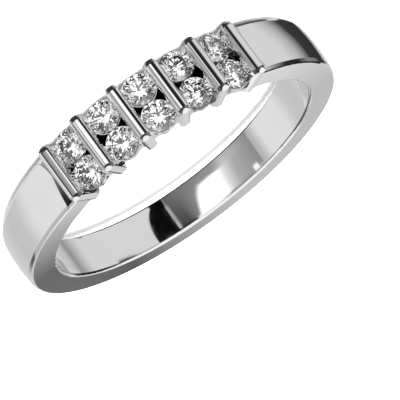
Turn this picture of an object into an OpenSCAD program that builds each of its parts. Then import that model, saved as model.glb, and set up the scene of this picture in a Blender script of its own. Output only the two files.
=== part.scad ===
// Wedding ring: a polished tapering band with five pairs of round brilliants in two rows,
// held between six bars that run across the band.
// The middle of the finger hole is the origin and its axis is Z. The stones face -Y.

/* [Finger hole and band] */
// Radius of the finger hole
finger_r = 8.65; // [7.5:0.05:11]
// Radius to the outer face on the middle line of the band
crest_r = 10.51; // [9.5:0.01:13]
// Width of the band at the front, under the stones
front_w = 3.46; // [2.6:0.02:5]
// Width of the band at the back
back_w = 2.42; // [1.6:0.02:4]
// Fall of the domed outer face from its middle line to the front edges
crown_drop = 0.15; // [0.02:0.01:0.4]
// Rounding of the two inner edges
inner_round = 0.22; // [0.05:0.01:0.4]
// Width of the two softened outer edges, measured along each face
outer_bevel = 0.14; // [0.05:0.01:0.3]

/* [Bars] */
// Number of bars across the band
bars = 6; // [3:1:8]
// Angle about the finger hole from one bar to the next
bar_pitch = 14.05; // [10:0.05:20]
// Width of the half-round top of a bar
bar_top_w = 0.84; // [0.5:0.02:1.2]
// Radius from the finger hole's axis to the centre of that half round
bar_round_r = 10.55; // [9.5:0.01:13]
// Width of the wall where the half round sits on it
wall_top_w = 0.82; // [0.48:0.02:1.2]
// Width of the wall at its foot, just inside the finger hole
wall_foot_w = 0.58; // [0.4:0.02:1]
// Radius of the bowed end of a bar, seen from outside
bar_end_r = 0.62; // [0.45:0.01:2]
// Height of the slanting facet on each bar end
bar_bevel = 0.25; // [0.1:0.01:0.5]
// Length of the taper at each end of the half round
bar_taper_l = 0.32; // [0.26:0.01:0.6]
// Slope of that taper, in degrees
bar_taper = 20; // [5:1:35]
// Distance that the bar ends stand out from the sides of the band
bar_proud = 0.15; // [0:0.01:0.2]
// Slope of the ramp from each end bar down to the shoulder, in degrees
ramp_slope = 21.5; // [10:0.5:40]
// Half the length of that ramp along the bar
ramp_half_l = 1.36; // [1:0.01:1.6]

/* [Stones] */
// Diameter of a stone at its girdle
stone_d = 1.85; // [1.2:0.01:2.4]
// Height of each row of stones above or below the middle of the band
row_z = 0.935; // [0.62:0.005:1.3]
// Radius about the finger hole to the middle of the girdles
girdle_r = 10.15; // [9.5:0.01:12]
// Thickness of a girdle
girdle_t = 0.04; // [0.02:0.005:0.1]
// Width of the table as a share of the diameter
table_share = 0.56; // [0.5:0.01:0.66]
// Slope of the main facets of the crown, in degrees
crown_slope = 34.5; // [30:0.1:37]
// Slope of the main facets of the pavilion, in degrees
pavilion_slope = 40.8; // [38:0.1:43]
// Reach of the star facets from the table towards the girdle
star_share = 0.5; // [0.4:0.01:0.6]
// Reach of the lower girdle facets from the girdle towards the culet
lower_share = 0.78; // [0.65:0.01:0.9]
// Turn of each stone about its own axis from that of the stone before it, in degrees
stone_turn = 16.5; // [0:0.5:45]

/* [Seats] */
// Clearance between a stone and the metal round it
seat_gap = 0.02; // [0.01:0.005:0.05]
// Distance of a cup's rim below the girdle
rim_drop = 0.08; // [0.04:0.01:0.2]
// Thickness of a cup at its rim
rim_t = 0.084; // [0.04:0.002:0.2]
// Depth of the steep upper part of a cup
cup_h = 0.57; // [0.3:0.01:1]
// Radius of the hole behind each stone
back_hole_r = 0.38; // [0.2:0.01:0.6]
// Half the width of the floor behind the stones
floor_half_w = 1.42; // [1:0.01:1.7]
// Radius to the outside of that floor
floor_r = 9.35; // [9:0.01:10]

/* [Hidden] */
$fn = 128;
metal_colour = [0.86, 0.86, 0.88];
stone_colour = [0.93, 0.95, 0.98];
// The front of the ring is at -Y.
front_angle = -90;
// Overshoot of the cutting shapes
over = 0.2;
// A rounding's centre lies a little nearer to the faces than its radius, so that it crosses them.
inset = 0.97;
half_front = front_w / 2;
half_back = back_w / 2;
half_middle = (half_front + half_back) / 2;
side_tilt = atan((half_front - half_back) / (2 * crest_r));
crown_arc_r = (half_front * half_front + crown_drop * crown_drop) / (2 * crown_drop);
// Radius to the outer face at a given height
function outer_at(z) = crest_r - crown_arc_r + sqrt(crown_arc_r * crown_arc_r - z * z);
edge_front_r = outer_at(half_front);
edge_back_r = outer_at(half_back);
// Half the band's width at a given Y
function half_w_at(y) = half_middle - y * tan(side_tilt);
function bar_angle(i) = front_angle + bar_pitch * (i - (bars - 1) / 2);
// Pairs are counted from the +X side.
function pair_angle(k) = front_angle + bar_pitch * (bars / 2 - k);
bar_top_r = bar_round_r + bar_top_w / 2;
// How far the wall of the first and last bar is buried in the end of the band
shank_reach = 0.27;
stone_r = stone_d / 2;
table_r = table_share * stone_r;
girdle_low = girdle_r - girdle_t / 2;
girdle_high = girdle_r + girdle_t / 2;
culet_r = girdle_low - stone_r * tan(pavilion_slope);
seat_low = culet_r - seat_gap / cos(pavilion_slope);
seat_r = stone_r + seat_gap;
crown_lift = seat_gap / cos(crown_slope);
mouth_r = 0.75 * stone_r;
rim_r = girdle_low - rim_drop + girdle_t / 2;
seat_rim_r = (rim_r - seat_low) / tan(pavilion_slope);
cup_r = seat_rim_r + rim_t;

// Corner shape that leaves a rounded edge; the material lies at +X and -Y of the corner.
module round_corner(r) {
    c = r * inset;
    difference() {
        translate([-over, -c])
            square([c + over, c + over]);
        translate([c, -c])
            circle(r = r);
    }
}

// Corner shape that leaves an edge softened by two bevels; the material lies at -X and -Y.
module bevel_corner(w) {
    nick = w * (1 - cos(45));
    polygon([
        [-w - over, over],
        [-w - over, over * tan(22.5)],
        [-nick, -nick],
        [over * tan(22.5), -w - over],
        [over, -w - over],
        [over, over],
    ]);
}

// Places a shape on one side plane of the band; side is 1 for the upper side, -1 for the lower.
module on_side(side) {
    mirror([0, 0, side > 0 ? 0 : 1])
        translate([0, 0, half_middle])
            rotate([-side_tilt, 0, 0])
                children();
}

// Cutter that rounds the inner edge on one side
module inner_edge_cutter(side) {
    on_side(side)
        rotate_extrude()
            translate([finger_r, 0])
                round_corner(inner_round);
}

// Cutter that bevels the outer edge on one side
module outer_edge_cutter(side) {
    on_side(side)
        translate([0, (edge_back_r - edge_front_r) / 2, 0])
            rotate_extrude()
                translate([(edge_back_r + edge_front_r) / 2, 0])
                    bevel_corner(outer_bevel);
}

// Round blank with its domed outer face
module blank() {
    rotate_extrude()
        intersection() {
            translate([crest_r - crown_arc_r, 0])
                circle(r = crown_arc_r);
            translate([finger_r - over, -front_w])
                square([crest_r, 2 * front_w]);
        }
}

// Wedge between the two side planes, which draw together towards the back
module taper() {
    reach = crest_r + 1;
    rotate([90, 0, 90])
        linear_extrude(height = 2 * reach, center = true)
            polygon([
                [-reach, half_w_at(-reach)],
                [reach, half_w_at(reach)],
                [reach, -half_w_at(reach)],
                [-reach, -half_w_at(-reach)],
            ]);
}

// Point in the plane of the finger hole, out along a bar and off to the side of the stones
function beside(i, side, r) =
    [
        r * cos(bar_angle(i)) - side * shank_reach * sin(bar_angle(i)),
        r * sin(bar_angle(i)) + side * shank_reach * cos(bar_angle(i)),
    ];

// Space for the stones, cut out of the band between its two ends
module stone_space() {
    linear_extrude(height = 2 * front_w, center = true)
        polygon([
            beside(0, 1, finger_r - 1),
            beside(0, 1, 2 * crest_r),
            beside(bars - 1, -1, 2 * crest_r),
            beside(bars - 1, -1, finger_r - 1),
        ]);
}

// The band without its front
module shank() {
    difference() {
        intersection() {
            blank();
            taper();
        }
        stone_space();
        outer_edge_cutter(1);
        outer_edge_cutter(-1);
    }
}

// Wall that carries a bar, narrowing to its foot
module bar_wall() {
    linear_extrude(height = front_w + 2 * over, center = true)
        polygon([
            [finger_r - over, -wall_foot_w / 2],
            [bar_round_r, -wall_top_w / 2],
            [bar_round_r, wall_top_w / 2],
            [finger_r - over, wall_foot_w / 2],
        ]);
}

// Round rod on top of that wall, tapering at both ends
module bar_rod(half_l) {
    tip_r = bar_top_w / 2 - (bar_taper_l + over) * tan(bar_taper);
    translate([bar_round_r, 0, 0])
        rotate_extrude()
            polygon([
                [0, -half_l - over],
                [tip_r, -half_l - over],
                [bar_top_w / 2, bar_taper_l - half_l],
                [bar_top_w / 2, half_l - bar_taper_l],
                [tip_r, half_l + over],
                [0, half_l + over],
            ]);
}

// Outline of a bar seen from outside, with its bowed ends
module bar_plan(half_l) {
    square([bar_top_w + over, 2 * (half_l - bar_end_r)], center = true);
    intersection() {
        square([bar_top_w + over, 2 * half_l + over], center = true);
        union() {
            translate([0, half_l - bar_end_r])
                circle(r = bar_end_r);
            translate([0, bar_end_r - half_l])
                circle(r = bar_end_r);
        }
    }
}

// Outline of a bar seen from the side, with a slanting facet at each end
module bar_side(half_l) {
    low = bar_top_r - bar_bevel;
    polygon([
        [finger_r - 1, -half_l - over],
        [low - over, -half_l - over],
        [bar_top_r + over, bar_bevel + over - half_l],
        [bar_top_r + over, half_l - bar_bevel - over],
        [low - over, half_l + over],
        [finger_r - 1, half_l + over],
    ]);
}

// One bar across the band, with the wall that carries it
module bar(i) {
    half_l = half_w_at(crest_r * sin(bar_angle(i))) + bar_proud;
    rotate([0, 0, bar_angle(i)])
        intersection() {
            union() {
                bar_wall();
                bar_rod(half_l);
            }
            rotate([90, 0, 90])
                linear_extrude(height = crest_r + 1)
                    bar_plan(half_l);
            rotate([90, 0, 0])
                linear_extrude(height = 2, center = true)
                    bar_side(half_l);
        }
}

// Ramp between the first or last bar and the domed shoulder beside it
module ramp(i, side) {
    run = 1.2;
    rotate([0, 0, bar_angle(i)])
        linear_extrude(height = 2 * ramp_half_l, center = true)
            polygon([
                [finger_r + 0.5, 0],
                [bar_round_r, 0],
                [bar_round_r, side * wall_top_w / 2],
                [bar_round_r - run * tan(ramp_slope), side * (wall_top_w / 2 + run)],
                [finger_r + 0.5, side * (wall_top_w / 2 + run)],
            ]);
}

// Stands a shape at one stone's place, its local Z outwards; row is 1 for upper, -1 for lower.
module at_stone(k, row) {
    rotate([0, 0, pair_angle(k)])
        translate([0, 0, row * row_z])
            rotate([0, 90, 0])
                children();
}

// Cup that a stone sits in
module cup(k, row) {
    at_stone(k, row)
        rotate_extrude()
            polygon([
                [0, floor_r - 0.35],
                [cup_r - 0.42, floor_r - 0.35],
                [cup_r - 0.07, rim_r - cup_h],
                [cup_r, rim_r],
                [0, rim_r],
            ]);
}

// Room for a stone: its own outline with a clearance, and a hole behind it
module seat(k, row) {
    at_stone(k, row) {
        rotate_extrude()
            polygon([
                [0, seat_low],
                [seat_r, seat_low + seat_r * tan(pavilion_slope)],
                [seat_r, girdle_high + crown_lift - seat_gap * tan(crown_slope)],
                [mouth_r, girdle_high + crown_lift + (stone_r - mouth_r) * tan(crown_slope)],
                [mouth_r, crest_r + 1],
                [0, crest_r + 1],
            ]);
        translate([0, 0, finger_r - 1])
            cylinder(r = back_hole_r, h = rim_r - cup_h - finger_r + 1);
    }
}

// Floor behind the stones, from the first bar to the last
module stone_floor() {
    intersection() {
        cylinder(r = floor_r, h = 2 * floor_half_w, center = true);
        linear_extrude(height = 2 * front_w, center = true)
            polygon([
                [0, 0],
                2 * crest_r * [cos(bar_angle(0)), sin(bar_angle(0))],
                2 * crest_r * [cos(bar_angle(bars - 1)), sin(bar_angle(bars - 1))],
            ]);
    }
}

// All the metal: one casting
module band() {
    color(metal_colour)
        difference() {
            union() {
                shank();
                ramp(0, -1);
                ramp(bars - 1, 1);
                stone_floor();
                for (k = [1 : bars - 1])
                    for (row = [-1, 1])
                        cup(k, row);
                for (i = [0 : bars - 1])
                    bar(i);
            }
            for (k = [1 : bars - 1])
                for (row = [-1, 1])
                    seat(k, row);
            cylinder(r = finger_r, h = 4 * front_w, center = true);
            inner_edge_cutter(1);
            inner_edge_cutter(-1);
        }
}

// Points of a round brilliant about its own axis, with its girdle at height 0.
// They run table, star tips, upper girdle, lower girdle, lower facet tips, culet.
function ring_point(r, angle, z) = [r * cos(angle), r * sin(angle), z];
table_z = girdle_t / 2 + (stone_r - table_r) * tan(crown_slope);
star_r = table_r * cos(22.5) + star_share * (stone_r - table_r * cos(22.5));
star_z = table_z - (star_r * cos(22.5) - table_r) * tan(crown_slope);
lower_r = (1 - lower_share) * stone_r;
culet_z = culet_r - girdle_r;
lower_z = culet_z + lower_r * cos(22.5) * tan(pavilion_slope);
brilliant_points = [
    for (k = [0 : 7]) ring_point(table_r, 45 * k, table_z),
    for (k = [0 : 7]) ring_point(star_r, 45 * k + 22.5, star_z),
    for (j = [0 : 15]) ring_point(stone_r, 22.5 * j, girdle_t / 2),
    for (j = [0 : 15]) ring_point(stone_r, 22.5 * j, -girdle_t / 2),
    for (k = [0 : 7]) ring_point(lower_r, 45 * k + 22.5, lower_z),
    [0, 0, culet_z],
];
// Numbers of those points, counted round the stone
function t(k) = (k + 8) % 8;
function s(k) = 8 + (k + 8) % 8;
function g(j) = 16 + (j + 16) % 16;
function h(j) = 32 + (j + 16) % 16;
function l(k) = 48 + (k + 8) % 8;
culet = 56;
brilliant_faces = [
    [for (k = [7 : -1 : 0]) t(k)],
    for (k = [0 : 7]) [t(k), t(k + 1), s(k)],
    for (k = [0 : 7]) [t(k), s(k), g(2 * k), s(k - 1)],
    for (k = [0 : 7]) [s(k), g(2 * k + 1), g(2 * k)],
    for (k = [0 : 7]) [s(k), g(2 * k + 2), g(2 * k + 1)],
    for (j = [0 : 15]) [g(j), g(j + 1), h(j + 1), h(j)],
    for (k = [0 : 7]) [l(k), h(2 * k), h(2 * k + 1)],
    for (k = [0 : 7]) [l(k), h(2 * k + 1), h(2 * k + 2)],
    for (k = [0 : 7]) [culet, l(k - 1), h(2 * k), l(k)],
];

// One brilliant in its seat
module stone(k, row) {
    color(stone_colour)
        at_stone(k, row)
            translate([0, 0, girdle_r])
                rotate([0, 0, stone_turn * (2 * k + row)])
                    polyhedron(points = brilliant_points, faces = brilliant_faces, convexity = 2);
}

module stone_upper_1() {
    stone(1, 1);
}

module stone_upper_2() {
    stone(2, 1);
}

module stone_upper_3() {
    stone(3, 1);
}

module stone_upper_4() {
    stone(4, 1);
}

module stone_upper_5() {
    stone(5, 1);
}

module stone_lower_1() {
    stone(1, -1);
}

module stone_lower_2() {
    stone(2, -1);
}

module stone_lower_3() {
    stone(3, -1);
}

module stone_lower_4() {
    stone(4, -1);
}

module stone_lower_5() {
    stone(5, -1);
}

band();
stone_upper_1();
stone_upper_2();
stone_upper_3();
stone_upper_4();
stone_upper_5();
stone_lower_1();
stone_lower_2();
stone_lower_3();
stone_lower_4();
stone_lower_5();
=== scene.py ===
# Wedding ring: a polished white metal band that narrows towards the back, with ten round brilliants
# in five pairs between six bars. Metres; the finger hole's axis is Z and the stones face -Y.
import math

import bmesh
import bpy
from mathutils import Matrix, Vector


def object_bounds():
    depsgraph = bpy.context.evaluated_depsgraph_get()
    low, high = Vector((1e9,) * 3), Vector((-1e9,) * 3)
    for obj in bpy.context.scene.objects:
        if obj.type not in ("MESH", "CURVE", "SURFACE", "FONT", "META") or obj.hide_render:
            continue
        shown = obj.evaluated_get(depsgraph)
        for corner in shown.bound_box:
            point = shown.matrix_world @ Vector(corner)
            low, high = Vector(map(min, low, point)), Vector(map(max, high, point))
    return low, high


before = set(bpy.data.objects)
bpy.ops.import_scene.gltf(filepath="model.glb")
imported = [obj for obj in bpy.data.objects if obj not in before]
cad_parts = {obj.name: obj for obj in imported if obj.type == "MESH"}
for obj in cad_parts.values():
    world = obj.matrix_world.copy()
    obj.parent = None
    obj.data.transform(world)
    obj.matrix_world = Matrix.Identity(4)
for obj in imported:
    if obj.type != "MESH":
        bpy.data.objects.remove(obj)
cad_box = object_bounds()

# The band is one casting in white gold: shank, bars, stone cups and the floor behind the stones.
# It is polished by hand to a mirror, which leaves faint waves and very fine wheel marks. The pits
# between the stones and the nook beside one end bar are darkened with painted shade.
METAL_LIGHT = (0.93, 0.93, 0.935, 1.0)
METAL_GREY = (0.89, 0.89, 0.90, 1.0)
PIT_PAINTED_SHADE = (0.012, 0.012, 0.013, 1.0)
MOTTLE_SPAN = (0.3, 0.7)
CLOUD_SIZE = 0.004
MARK_SIZE = 0.0006
ROUGH_FINE = 0.03
ROUGH_WORN = 0.07
WAVE_SIZE = 0.002
WAVE_HEIGHT = 0.0000005
PIT_INNER_R = 0.0088
PIT_OUTER_R = 0.0099
PIT_HALF_W = 0.00062
PIT_EDGE = 0.0001
PIT_SIDE_X = 0.0042
PIT_SIDE_FADE = 0.0004
PIT_SIDE_SHARE = 0.1
NOOK_PAINTED_SHADE = (0.03, 0.03, 0.032, 1.0)
NOOK_ANGLE = math.radians(-54.875)
NOOK_SLOPE = math.tan(math.radians(21.5))
NOOK_TOP_R = 0.01055
NOOK_TOP_SIDE = 0.00041
NOOK_FLOOR_R = 0.0102
NOOK_START = 0.00043
NOOK_END = 0.0013
NOOK_NEAR_Z = 0.00148
NOOK_NEAR_FADE = 0.00004
NOOK_FULL_Z = 0.001
NOOK_FAR_SHARE = 0.5
NOOK_SPREAD = 0.00058
NOOK_EDGE = 0.00003
RAMP_SKIN = 0.000006
RAMP_SKIN_EDGE = 0.00001
SHARP = 0.00002


def mottle_group():
    # Soft cloudy pattern on the piece's own coordinates; Size is the width of one cloud in metres.
    group = bpy.data.node_groups.new("soft_mottle", "ShaderNodeTree")
    group.interface.new_socket("Size", in_out="INPUT", socket_type="NodeSocketFloat")
    group.interface.new_socket("Detail", in_out="INPUT", socket_type="NodeSocketFloat")
    group.interface.new_socket("Mask", in_out="OUTPUT", socket_type="NodeSocketFloat")
    inner = group.nodes
    source = inner.new("NodeGroupInput")
    place_of = inner.new("ShaderNodeTexCoord")
    cells = inner.new("ShaderNodeMath")
    cells.operation = "DIVIDE"
    cells.inputs[0].default_value = 1.0
    group.links.new(source.outputs["Size"], cells.inputs[1])
    noise = inner.new("ShaderNodeTexNoise")
    group.links.new(place_of.outputs["Object"], noise.inputs["Vector"])
    group.links.new(cells.outputs["Value"], noise.inputs["Scale"])
    group.links.new(source.outputs["Detail"], noise.inputs["Detail"])
    spread = inner.new("ShaderNodeMapRange")
    spread.inputs["From Min"].default_value = MOTTLE_SPAN[0]
    spread.inputs["From Max"].default_value = MOTTLE_SPAN[1]
    group.links.new(noise.outputs["Fac"], spread.inputs["Value"])
    result = inner.new("NodeGroupOutput")
    group.links.new(spread.outputs["Result"], result.inputs["Mask"])
    return group


def mottle(tree, size, detail):
    cloud = tree.nodes.new("ShaderNodeGroup")
    cloud.node_tree = soft_mottle
    cloud.inputs["Size"].default_value = size
    cloud.inputs["Detail"].default_value = detail
    return cloud.outputs["Mask"]


def two_tone(tree, mask, first, second):
    mix = tree.nodes.new("ShaderNodeMix")
    mix.data_type = "RGBA"
    tree.links.new(mask, mix.inputs["Factor"])
    mix.inputs["A"].default_value = first
    mix.inputs["B"].default_value = second
    return mix


def between(tree, value, low, high, to_low, to_high):
    step = tree.nodes.new("ShaderNodeMapRange")
    for name, number in zip(("From Min", "From Max", "To Min", "To Max"), (low, high, to_low, to_high)):
        step.inputs[name].default_value = number
    tree.links.new(value, step.inputs["Value"])
    return step.outputs["Result"]


def maths(tree, operation, *values):
    step = tree.nodes.new("ShaderNodeMath")
    step.operation = operation
    for socket, value in zip(step.inputs, values):
        if isinstance(value, float):
            socket.default_value = value
        else:
            tree.links.new(value, socket)
    return step.outputs["Value"]


def all_of(tree, masks):
    total = masks[0]
    for mask in masks[1:]:
        total = maths(tree, "MULTIPLY", total, mask)
    return total


def dot(tree, vector, direction):
    step = tree.nodes.new("ShaderNodeVectorMath")
    step.operation = "DOT_PRODUCT"
    tree.links.new(vector, step.inputs[0])
    step.inputs[1].default_value = direction
    return step.outputs["Value"]


soft_mottle = mottle_group()
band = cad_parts["band"]
polished = bpy.data.materials.new("polished_white_metal")
polished.use_nodes = True
tree = polished.node_tree
shader = tree.nodes["Principled BSDF"]
shader.inputs["Metallic"].default_value = 1.0
where = tree.nodes.new("ShaderNodeTexCoord")
parts = tree.nodes.new("ShaderNodeSeparateXYZ")
tree.links.new(where.outputs["Object"], parts.inputs["Vector"])
x_squared = maths(tree, "MULTIPLY", parts.outputs["X"], parts.outputs["X"])
y_squared = maths(tree, "MULTIPLY", parts.outputs["Y"], parts.outputs["Y"])
reach = maths(tree, "SQRT", maths(tree, "ADD", x_squared, y_squared))
# Painted shade in the pits between the stones: near black, and a tenth as dark in the outer pairs.
pit_painted_shade = all_of(tree, (
    between(tree, reach, PIT_INNER_R - PIT_EDGE / 2, PIT_INNER_R, 0.0, 1.0),
    between(tree, reach, PIT_OUTER_R - PIT_EDGE, PIT_OUTER_R, 1.0, 0.0),
    between(tree, maths(tree, "ABSOLUTE", parts.outputs["Z"]), PIT_HALF_W, PIT_HALF_W + PIT_EDGE, 1.0, 0.0),
    between(tree, maths(tree, "ABSOLUTE", parts.outputs["X"]),
            PIT_SIDE_X, PIT_SIDE_X + PIT_SIDE_FADE, 1.0, PIT_SIDE_SHARE),
))
out_from_axis = dot(tree, where.outputs["Object"], (math.cos(NOOK_ANGLE), math.sin(NOOK_ANGLE), 0.0))
off_to_side = dot(tree, where.outputs["Object"], (-math.sin(NOOK_ANGLE), math.cos(NOOK_ANGLE), 0.0))
ramp_depth = dot(tree, where.outputs["Object"], (
    math.cos(NOOK_ANGLE) - NOOK_SLOPE * math.sin(NOOK_ANGLE),
    math.sin(NOOK_ANGLE) + NOOK_SLOPE * math.cos(NOOK_ANGLE),
    0.0,
))
# The nook's painted shade lies on the face of the short ramp and a wedge of the shoulder beside it, which
# widens upwards.
ramp_level = NOOK_TOP_R + NOOK_SLOPE * NOOK_TOP_SIDE
ramp = all_of(tree, (
    between(tree, off_to_side, NOOK_END, NOOK_END + SHARP, 1.0, 0.0),
    between(tree, ramp_depth, ramp_level - RAMP_SKIN_EDGE, ramp_level - RAMP_SKIN, 0.0, 1.0),
    between(tree, ramp_depth, ramp_level + RAMP_SKIN, ramp_level + RAMP_SKIN_EDGE, 1.0, 0.0),
))
spread = between(tree, parts.outputs["Z"], -NOOK_FULL_Z, NOOK_NEAR_Z, 0.0, NOOK_SPREAD)
wedge = all_of(tree, (
    between(tree, maths(tree, "SUBTRACT", off_to_side, spread), NOOK_START, NOOK_START + NOOK_EDGE, 1.0, 0.0),
    between(tree, reach, NOOK_FLOOR_R, NOOK_FLOOR_R + SHARP, 0.0, 1.0),
    between(tree, parts.outputs["Z"], NOOK_NEAR_Z, NOOK_NEAR_Z + NOOK_NEAR_FADE, 1.0, 0.0),
))
nook_painted_shade = all_of(tree, (
    maths(tree, "MAXIMUM", ramp, wedge),
    between(tree, out_from_axis, 0.0, SHARP, 0.0, 1.0),
    between(tree, off_to_side, NOOK_START, NOOK_START + SHARP, 0.0, 1.0),
    between(tree, parts.outputs["Z"], -NOOK_NEAR_Z, NOOK_FULL_Z, NOOK_FAR_SHARE, 1.0),
))
tone = two_tone(tree, mottle(tree, CLOUD_SIZE, detail=2.0), METAL_LIGHT, METAL_GREY)
# The painted shade of the nook and of the pits is laid over the metal's cloudy tone.
for mask, painted_shade_tone in ((nook_painted_shade, NOOK_PAINTED_SHADE), (pit_painted_shade, PIT_PAINTED_SHADE)):
    over = two_tone(tree, mask, painted_shade_tone, painted_shade_tone)
    tree.links.new(tone.outputs["Result"], over.inputs["A"])
    tone = over
tree.links.new(tone.outputs["Result"], shader.inputs["Base Color"])
marks = mottle(tree, MARK_SIZE, detail=4.0)
tree.links.new(between(tree, marks, 0.0, 1.0, ROUGH_FINE, ROUGH_WORN), shader.inputs["Roughness"])
waves = tree.nodes.new("ShaderNodeBump")
waves.inputs["Distance"].default_value = WAVE_HEIGHT
tree.links.new(mottle(tree, WAVE_SIZE, detail=0.0), waves.inputs["Height"])
tree.links.new(waves.outputs["Normal"], shader.inputs["Normal"])
band.data.materials.clear()
band.data.materials.append(polished)

# The stones are round brilliants cut from clear crystal, each one solid, polished on every facet.
# Each sits in its own cup, held at two sides by the walls of the bars.
STONE_CLEAR = (1.0, 1.0, 1.0, 1.0)
STONE_FAINT = (0.97, 0.975, 0.985, 1.0)
STONE_IOR = 2.42
VEIL_SIZE = 0.0008
STONES_IN_ROW = 5
clear = bpy.data.materials.new("clear_crystal")
clear.use_nodes = True
tree = clear.node_tree
shader = tree.nodes["Principled BSDF"]
shader.inputs["Roughness"].default_value = 0.0
shader.inputs["IOR"].default_value = STONE_IOR
shader.inputs["Transmission Weight"].default_value = 1.0
tone = two_tone(tree, mottle(tree, VEIL_SIZE, detail=1.0), STONE_CLEAR, STONE_FAINT)
tree.links.new(tone.outputs["Result"], shader.inputs["Base Color"])
for row in ("upper", "lower"):
    for number in range(1, STONES_IN_ROW + 1):
        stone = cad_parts["stone_%s_%d" % (row, number)]
        stone.data.materials.clear()
        stone.data.materials.append(clear)

# The floor is a plain sheet of white paper, just under the lowest points of the ring as it lies on
# its side. It is left out of what the metal mirrors, where the cards below stand in for it, and the
# stones see it as a greyer sheet.
FLOOR_SIZE = 4.0
FLOOR_DROP = 0.00001
PAPER_WHITE = (0.94, 0.94, 0.94, 1.0)
PAPER_SHADE = (0.92, 0.92, 0.92, 1.0)
PAPER_THROUGH_STONE = (0.30, 0.30, 0.30, 1.0)
PAPER_GRAIN = 0.0004
PAPER_ROUGH = 0.9
floor_mesh = bmesh.new()
bmesh.ops.create_grid(floor_mesh, x_segments=1, y_segments=1, size=FLOOR_SIZE / 2)
bmesh.ops.translate(floor_mesh, verts=floor_mesh.verts, vec=(0, 0, cad_box[0].z - FLOOR_DROP))
floor_data = bpy.data.meshes.new("floor")
floor_mesh.to_mesh(floor_data)
floor_mesh.free()
floor = bpy.data.objects.new("floor", floor_data)
bpy.context.scene.collection.objects.link(floor)
paper = bpy.data.materials.new("white_paper")
paper.use_nodes = True
tree = paper.node_tree
shader = tree.nodes["Principled BSDF"]
shader.inputs["Roughness"].default_value = PAPER_ROUGH
tone = two_tone(tree, mottle(tree, PAPER_GRAIN, detail=3.0), PAPER_WHITE, PAPER_SHADE)
seen_by = tree.nodes.new("ShaderNodeLightPath")
grey = two_tone(tree, seen_by.outputs["Is Transmission Ray"], PAPER_WHITE, PAPER_THROUGH_STONE)
tree.links.new(tone.outputs["Result"], grey.inputs["A"])
tree.links.new(grey.outputs["Result"], shader.inputs["Base Color"])
floor_data.materials.append(paper)
floor.visible_glossy = False

# Studio cards round the ring, seen only in what it mirrors. Each is a flat sheet given by rows of
# corners: x, y and z in millimetres and the tone there, from black at 0 to white at 1 and over.
# The under_ cards lie below the ring, edge_line hangs high above it and the others stand round it.
MM_PER_M = 1000
CARD_CUTS = 7
card_light = bpy.data.materials.new("card_light")
card_light.use_nodes = True
tree = card_light.node_tree
shader = tree.nodes["Principled BSDF"]
shader.inputs["Base Color"].default_value = (0.0, 0.0, 0.0, 1.0)
shader.inputs["Roughness"].default_value = 1.0
shader.inputs["Specular IOR Level"].default_value = 0.0
shader.inputs["Emission Strength"].default_value = 1.0
glow = tree.nodes.new("ShaderNodeAttribute")
glow.attribute_name = "tone"
tree.links.new(glow.outputs["Color"], shader.inputs["Emission Color"])


def card(name, *rows):
    sheet = bmesh.new()
    layer = sheet.verts.layers.float_color.new("tone")
    lines = []
    for row in rows:
        corners = [sheet.verts.new((x / MM_PER_M, y / MM_PER_M, z / MM_PER_M)) for x, y, z, bright in row]
        for corner, (x, y, z, bright) in zip(corners, row):
            corner[layer] = (bright, bright, bright, 1.0)
        lines.append(corners)
    for line, following in zip(lines, lines[1:]):
        for corners in zip(line, line[1:], following[1:], following):
            sheet.faces.new(corners)
    bmesh.ops.subdivide_edges(sheet, edges=sheet.edges, cuts=CARD_CUTS, use_grid_fill=True)
    data = bpy.data.meshes.new(name)
    sheet.to_mesh(data)
    sheet.free()
    data.materials.append(card_light)
    thing = bpy.data.objects.new(name, data)
    bpy.context.scene.collection.objects.link(thing)
    for ray in ("camera", "diffuse", "transmission", "volume_scatter", "shadow"):
        setattr(thing, "visible_" + ray, False)


def level_card(name, height, near_row, far_row):
    # Both rows hold x, y and tone.
    card(name, [(x, y, height, bright) for x, y, bright in near_row],
         [(x, y, height, bright) for x, y, bright in far_row])


def upright_card(name, low, high, line):
    # The line holds x, y and tone, and the sheet stands on it from low to high.
    card(name, [(x, y, low, bright) for x, y, bright in line],
         [(x, y, high, bright) for x, y, bright in line])


# Where two of the under_ cards cross, they differ in height, and the higher one hides the lower.
level_card("under_black", -4.00,
           [(-8.4, -5.0, 0.003), (-6.4, -2.7, 0.003), (-5.2, -1.6, 0.003), (-4.0, -0.6, 0.003),
            (-2.8, 0.3, 0.003), (-0.25, 5.1, 0.003)],
           [(-4.7, -7.5, 0.003), (-3.7, -4.8, 0.003), (-3.1, -3.2, 0.003), (-2.55, -1.7, 0.003),
            (-2.0, -0.4, 0.003), (-0.33, 5.0, 0.003)])
level_card("under_white", -4.01,
           [(-0.7, -7.4, 0.25), (-0.1, -7.4, 1.2), (4.6, -6.1, 1.3), (5.6, -5.4, 0.75), (7.0, -4.2, 0.45),
            (9.4, 0.2, 0.28)],
           [(0.5, -2.1, 0.25), (0.95, -2.0, 1.1), (2.6, -1.2, 1.2), (3.2, -0.6, 0.75), (3.8, 0.2, 0.45),
            (4.75, 2.5, 0.28)])
level_card("under_fade", -4.02,
           [(-4.45, -6.4, 0.60), (-4.0, -6.6, 0.50), (-3.65, -6.7, 0.06), (-2.2, -7.2, 0.07),
            (-1.0, -7.3, 0.20), (0.2, -7.4, 0.30)],
           [(-2.55, -1.4, 0.50), (-2.3, -1.5, 0.40), (-2.1, -1.6, 0.12), (-1.3, -1.8, 0.16),
            (-0.5, -1.9, 0.22), (0.8, -1.8, 0.30)])
level_card("under_band", -4.03,
           [(-2.5, -1.7, 0.30), (-2.2, -1.8, 0.12), (-0.9, -2.2, 0.20), (0.8, -2.2, 0.27), (2.5, -1.5, 0.33),
            (3.4, -0.7, 0.62), (4.8, 2.4, 0.28)],
           [(-0.33, 5.0, 0.20), (-0.35, 4.95, 0.15), (-0.4, 4.9, 0.20), (-0.5, 4.85, 0.20),
            (-0.6, 5.0, 0.30), (-0.8, 5.3, 0.30), (-1.0, 5.6, 0.20)])
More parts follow.
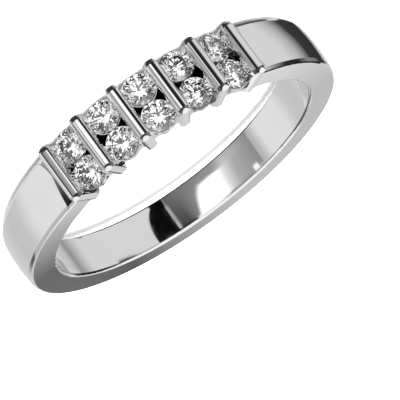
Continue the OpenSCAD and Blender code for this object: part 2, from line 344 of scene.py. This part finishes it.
level_card("under_rim", -4.04,
           [(0.5, 6.9, 0.003), (0.2, 6.9, 0.003), (0.1, 6.9, 0.10), (-0.5, 6.8, 0.16), (-1.4, 6.7, 0.12),
            (-2.5, 6.7, 0.08)],
           [(0.7, 7.6, 0.003), (0.4, 7.6, 0.003), (0.3, 7.9, 0.10), (-0.6, 7.8, 0.16), (-1.8, 7.7, 0.12),
            (-2.7, 7.0, 0.08)])
level_card("under_glint", -3.99,
           [(7.8, -1.3, 1.1), (8.2, -0.4, 1.1)],
           [(8.8, -2.0, 1.1), (9.2, -1.0, 1.1)])
level_card("under_ends", -2.50,
           [(-5.5, -9.2, 0.55), (3.5, -9.2, 0.55)],
           [(-5.5, -6.8, 0.55), (3.5, -6.8, 0.55)])
level_card("under_left", -4.00,
           [(7.4, -8.4, 0.75), (8.5, -5.6, 0.75), (9.6, -2.6, 0.75), (10.0, 1.5, 0.75)],
           [(9.6, -8.6, 0.75), (11.2, -5.8, 0.75), (12.2, -2.6, 0.75), (12.6, 1.2, 0.75)])
level_card("under_right", -4.00,
           [(-8.0, -7.4, 0.10), (-9.4, -3.5, 0.10), (-9.6, -2.9, 0.80), (-9.9, -1.6, 0.80),
            (-10.0, -1.1, 0.04), (-10.3, 3.8, 0.03)],
           [(-9.8, -7.0, 0.10), (-11.5, -3.3, 0.10), (-11.7, -2.6, 0.80), (-12.0, -1.2, 0.80),
            (-12.1, -0.7, 0.04), (-12.2, 3.8, 0.03)])
card("right_dark",
     [(-13, -6.2, -4.4, 0.70), (-13, -4.4, -4.4, 0.48), (-13, -3.2, -4.4, 0.20), (-13, -2.3, -4.4, 0.04),
      (-13, 2.6, -4.4, 0.03), (-13, 3.8, -4.4, 0.35), (-13, 4.6, -4.4, 0.66)],
     [(-13, -5.2, 1.2, 0.70), (-13, -3.5, 1.2, 0.50), (-13, -2.3, 1.2, 0.24), (-13, -1.5, 1.2, 0.04),
      (-13, 1.2, 1.2, 0.03), (-13, 2.2, 1.2, 0.35), (-13, 3.0, 1.2, 0.66)])
card("left_light",
     [(12, -11, 1.7, 0.5), (12, 1.5, 1.7, 0.5)],
     [(12, -11, 4.3, 0.5), (12, 1.5, 2.8, 0.5)])
upright_card("rod_grey", -3.0, 1.3,
             [(4.9, -11.3, 1.2), (5.3, -11.3, 1.1), (5.6, -11.3, 0.45), (6.6, -11.3, 0.38),
              (8.1, -10.6, 0.27), (8.3, -10.3, 0.02), (8.8, -9.65, 0.02)])
upright_card("front_dark", -9.0, 0.6,
             [(-9.4, -14.2, 0.60), (-7.6, -15.5, 0.03), (-4.6, -17.2, 0.01), (-2.2, -18.6, 0.05),
              (-1.2, -19.2, 0.9)])
card("edge_dark",
     [(-20, -10.5, 4.6, 0.66), (-20, -7.5, 3.7, 0.30), (-20, -4.5, 2.8, 0.02), (-20, -1.0, 1.8, 0.02),
      (-20, 2.0, 0.9, 0.24), (-20, 5.0, 0.1, 0.20), (-20, 8.0, -0.8, 0.02)],
     [(-20, -10.5, 6.2, 0.66), (-20, -7.5, 5.6, 0.30), (-20, -4.5, 5.1, 0.02), (-20, -1.0, 4.4, 0.02),
      (-20, 2.0, 3.9, 0.24), (-20, 5.0, 3.3, 0.20), (-20, 8.0, 2.8, 0.02)])
level_card("edge_line", 30.0,
           [(-17.0, 14.0, 0.01), (-20.5, 27.0, 0.01), (-25.5, 42.0, 0.01), (-34.0, 74.0, 0.01)],
           [(-27.0, 15.0, 0.01), (-32.0, 25.0, 0.01), (-38.5, 40.0, 0.01), (-48.0, 72.0, 0.01)])
# The last card stands behind the ring. Each row below is its height and the tones at the x columns.
SIDE_Y = 30
SIDE_COLUMNS = (-16, -5, 0, 3, 7, 14)
SIDE_ROWS = (
    (5.0, (0.55, 0.60, 0.30, 0.10, 0.20, 0.20)),
    (9.6, (0.55, 0.50, 0.30, 0.15, 0.15, 0.15)),
    (12.2, (0.75, 0.75, 0.70, 0.65, 0.55, 0.40)),
    (14.0, (0.75, 0.75, 0.70, 0.70, 0.65, 0.60)),
)
card("side_shade", *(
    [(x, SIDE_Y, z, bright) for x, bright in zip(SIDE_COLUMNS, tones)] for z, tones in SIDE_ROWS
))

# The studio is a white tent, brightest overhead, which lights the paper. What the ring mirrors and
# the stones show beyond the cards is two rings of soft panels, low and middle, and a plain tone above
# and below. A panel is given by its compass angle, 0 at -Y and 90 at +X, and its tone.
ZENITH_BRIGHT = 7.0
HORIZON_BRIGHT = 0.9
OVERHEAD_FADE = (0.1, 0.9)
LOW_PANEL_TOP = (-7, 2)
MIDDLE_PANEL_TOP = (32, 44)
LOW_PANEL_FOOT = (-50, -40)
LOW_PANELS = (
    (-180, 0.72), (-150, 0.66), (-130, 0.55), (-122, 0.30), (-117, 0.42), (-105, 0.70), (-60, 0.72),
    (-30, 0.72), (-20, 1.15), (18, 1.15), (28, 0.36), (50, 0.33), (58, 0.50), (68, 0.50),
    (76, 0.80), (104, 0.80), (118, 0.62), (135, 0.58), (155, 0.66), (180, 0.72),
)
MIDDLE_PANELS = (
    (-180, 0.72), (-142, 0.60), (-130, 0.02), (-90, 0.02), (-60, 0.20), (-28, 0.05), (30, 0.03),
    (60, 0.10), (140, 0.12), (158, 0.60), (180, 0.72),
)
TOP_TONE = (0.95, 0.95, 0.95, 1.0)
BOTTOM_TONE = (0.04, 0.04, 0.04, 1.0)
world = bpy.data.worlds.new("tent")
bpy.context.scene.world = world
world.use_nodes = True
tree = world.node_tree
sky = tree.nodes
direction = sky.new("ShaderNodeTexCoord")
split = sky.new("ShaderNodeSeparateXYZ")
tree.links.new(direction.outputs["Generated"], split.inputs["Vector"])
flipped = maths(tree, "MULTIPLY", split.outputs["Y"], -1.0)
compass = maths(tree, "ARCTAN2", split.outputs["X"], flipped)
turn = between(tree, compass, -math.pi, math.pi, 0.0, 1.0)


def panel_ring(panels):
    ramp = sky.new("ShaderNodeValToRGB")
    stops = ramp.color_ramp.elements
    for number, (angle, tone) in enumerate(panels):
        spot = (angle + 180) / 360
        stop = stops[number] if number < 2 else stops.new(spot)
        stop.position = spot
        stop.color = (tone, tone, tone, 1.0)
    tree.links.new(turn, ramp.inputs["Fac"])
    return ramp.outputs["Color"]


def blend(factor, first, second):
    mix = sky.new("ShaderNodeMix")
    mix.data_type = "RGBA"
    tree.links.new(factor, mix.inputs["Factor"])
    tree.links.new(first, mix.inputs["A"])
    tree.links.new(second, mix.inputs["B"])
    return mix.outputs["Result"]


def above(angles):
    low, high = (math.sin(math.radians(angle)) for angle in angles)
    return between(tree, split.outputs["Z"], low, high, 0.0, 1.0)


top = sky.new("ShaderNodeRGB")
top.outputs["Color"].default_value = TOP_TONE
bottom = sky.new("ShaderNodeRGB")
bottom.outputs["Color"].default_value = BOTTOM_TONE
rings = blend(above(LOW_PANEL_TOP), panel_ring(LOW_PANELS), panel_ring(MIDDLE_PANELS))
rings = blend(above(MIDDLE_PANEL_TOP), rings, top.outputs["Color"])
rings = blend(above(LOW_PANEL_FOOT), bottom.outputs["Color"], rings)
overhead = sky.new("ShaderNodeMapRange")
overhead.interpolation_type = "SMOOTHSTEP"
overhead.inputs["From Min"].default_value = OVERHEAD_FADE[0]
overhead.inputs["From Max"].default_value = OVERHEAD_FADE[1]
overhead.inputs["To Min"].default_value = HORIZON_BRIGHT
overhead.inputs["To Max"].default_value = ZENITH_BRIGHT
tree.links.new(split.outputs["Z"], overhead.inputs["Value"])
path = sky.new("ShaderNodeLightPath")
mirrored = maths(tree, "MAXIMUM", path.outputs["Is Glossy Ray"], path.outputs["Is Transmission Ray"])
tree.links.new(blend(mirrored, overhead.outputs["Result"], rings), sky["Background"].inputs["Color"])

# The camera stands at the photo's angle, far off with a long lens, and is rolled as the photo is.
# The middle of the ring is put on its place in the photo by aiming the camera, without a lens shift.
VIEW_AZIMUTH = math.radians(5.1)
VIEW_ELEVATION = math.radians(18.2)
VIEW_ROLL = math.radians(143.68)
VIEW_DISTANCE = 0.29483
VIEW_LENS = 469.7
SENSOR_WIDTH = 36.0
CLIP_NEAR = 0.01
CLIP_FAR = 10.0
FRAME_SIDE_PX = 400
PX_PER_M = 17703.0
RING_CENTRE_PX = (169.70, 159.29)
back = Vector((
    math.sin(VIEW_AZIMUTH) * math.cos(VIEW_ELEVATION),
    -math.cos(VIEW_AZIMUTH) * math.cos(VIEW_ELEVATION),
    math.sin(VIEW_ELEVATION),
))
level_right = (-back).cross(Vector((0, 0, 1))).normalized()
level_up = level_right.cross(-back)
image_right = math.cos(VIEW_ROLL) * level_right + math.sin(VIEW_ROLL) * level_up
image_up = -math.sin(VIEW_ROLL) * level_right + math.cos(VIEW_ROLL) * level_up
aim = (
    (FRAME_SIDE_PX / 2 - RING_CENTRE_PX[0]) / PX_PER_M * image_right
    - (FRAME_SIDE_PX / 2 - RING_CENTRE_PX[1]) / PX_PER_M * image_up
)
place = back * VIEW_DISTANCE
z_axis = (place - aim).normalized()
x_axis = image_up.cross(z_axis).normalized()
y_axis = z_axis.cross(x_axis)
camera_data = bpy.data.cameras.new("camera")
camera_data.lens = VIEW_LENS
camera_data.sensor_width = SENSOR_WIDTH
camera_data.clip_start = CLIP_NEAR
camera_data.clip_end = CLIP_FAR
camera = bpy.data.objects.new("camera", camera_data)
bpy.context.scene.collection.objects.link(camera)
camera.matrix_world = Matrix.Translation(place) @ Matrix((x_axis, y_axis, z_axis)).transposed().to_4x4()
bpy.context.scene.camera = camera

# The tones are shown plainly. Light turns many times inside a stone before it leaves it, and only a
# few times between the polished bars.
STONE_BOUNCES = 32
METAL_BOUNCES = 8
bpy.context.scene.view_settings.view_transform = "Standard"
bpy.context.scene.cycles.max_bounces = STONE_BOUNCES
bpy.context.scene.cycles.transmission_bounces = STONE_BOUNCES
bpy.context.scene.cycles.glossy_bounces = METAL_BOUNCES
